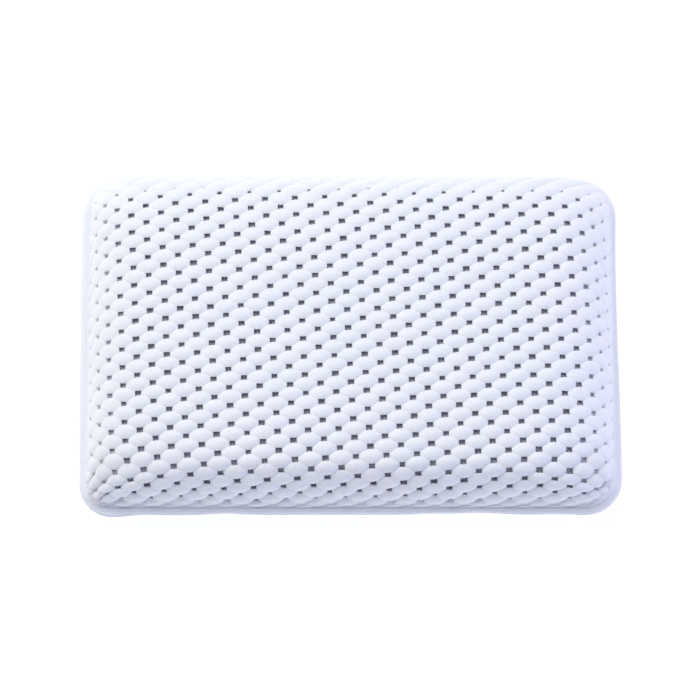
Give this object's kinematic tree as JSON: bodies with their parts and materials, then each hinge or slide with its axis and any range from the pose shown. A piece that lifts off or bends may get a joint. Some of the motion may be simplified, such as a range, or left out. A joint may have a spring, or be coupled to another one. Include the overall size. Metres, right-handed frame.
{
  "type": "bath pillow",
  "caption": "Domed rectangular bath pillow with a woven-look foam mesh cover, flat welded rim and back suction cups, to cushion the head in a tub.",
  "frame": {"origin": "middle of the footprint, on the surface that the suction cups' lips stand on", "axes": "+X along the pillow's width, +Y across it towards its upper edge, +Z out of its padded face"},
  "size_m": [0.33, 0.222, 0.0512],
  "materials": {
    "cover_foam": "satin",
    "pad_foam": "matte",
    "back_vinyl": "satin",
    "eyelet_vinyl": "satin",
    "cup_vinyl": "gloss"
  },
  "bodies": {
    "pillow": {"front_cover": "cover_foam", "foam_pad": "pad_foam", "back_sheet": "back_vinyl", "cup_eyelet_1": "eyelet_vinyl", "cup_eyelet_2": "eyelet_vinyl", "cup_eyelet_3": "eyelet_vinyl", "cup_eyelet_4": "eyelet_vinyl", "cup_eyelet_5": "eyelet_vinyl", "cup_eyelet_6": "eyelet_vinyl"},
    "cup_1": {"suction_cup_1": "cup_vinyl"},
    "cup_2": {"suction_cup_2": "cup_vinyl"},
    "cup_3": {"suction_cup_3": "cup_vinyl"},
    "cup_4": {"suction_cup_4": "cup_vinyl"},
    "cup_5": {"suction_cup_5": "cup_vinyl"},
    "cup_6": {"suction_cup_6": "cup_vinyl"}
  },
  "joints": [
    {"name": "cup_1_swivel", "type": "hinge", "parent": "pillow", "child": "cup_1", "pos_m": [-0.11, -0.062, 0], "axis": [0, 0, 1], "continuous": true},
    {"name": "cup_2_swivel", "type": "hinge", "parent": "pillow", "child": "cup_2", "pos_m": [0, -0.062, 0], "axis": [0, 0, 1], "continuous": true},
    {"name": "cup_3_swivel", "type": "hinge", "parent": "pillow", "child": "cup_3", "pos_m": [0.11, -0.062, 0], "axis": [0, 0, 1], "continuous": true},
    {"name": "cup_4_swivel", "type": "hinge", "parent": "pillow", "child": "cup_4", "pos_m": [-0.11, 0.062, 0], "axis": [0, 0, 1], "continuous": true},
    {"name": "cup_5_swivel", "type": "hinge", "parent": "pillow", "child": "cup_5", "pos_m": [0, 0.062, 0], "axis": [0, 0, 1], "continuous": true},
    {"name": "cup_6_swivel", "type": "hinge", "parent": "pillow", "child": "cup_6", "pos_m": [0.11, 0.062, 0], "axis": [0, 0, 1], "continuous": true}
  ]
}
